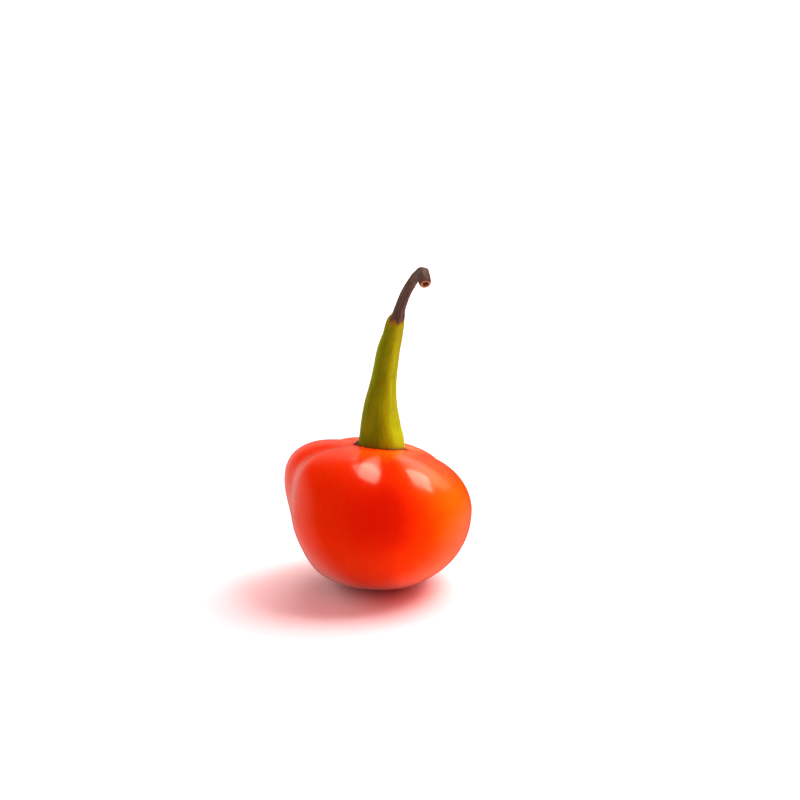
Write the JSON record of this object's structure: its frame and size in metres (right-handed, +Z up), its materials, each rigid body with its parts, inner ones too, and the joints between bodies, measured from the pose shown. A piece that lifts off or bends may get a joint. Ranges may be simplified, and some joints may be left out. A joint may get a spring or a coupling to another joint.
{
  "type": "bode pepper",
  "caption": "Small squat hot pepper with lobed glossy orange-red fruit, green flared stem and dried hooked tip, resting on a flat spot.",
  "frame": {"origin": "centre of the small flat spot that the fruit rests on", "axes": "+Z up, -Y towards the front, which is the side that the stem's hook points to"},
  "size_m": [0.0178, 0.0178, 0.0313],
  "materials": {
    "skin": "waxy glossy orange-red fruit skin",
    "stem": "matt green stem skin, dried brown towards the tip"
  },
  "bodies": {
    "root": {"fruit": "skin", "stem": "stem"}
  },
  "joints": []
}
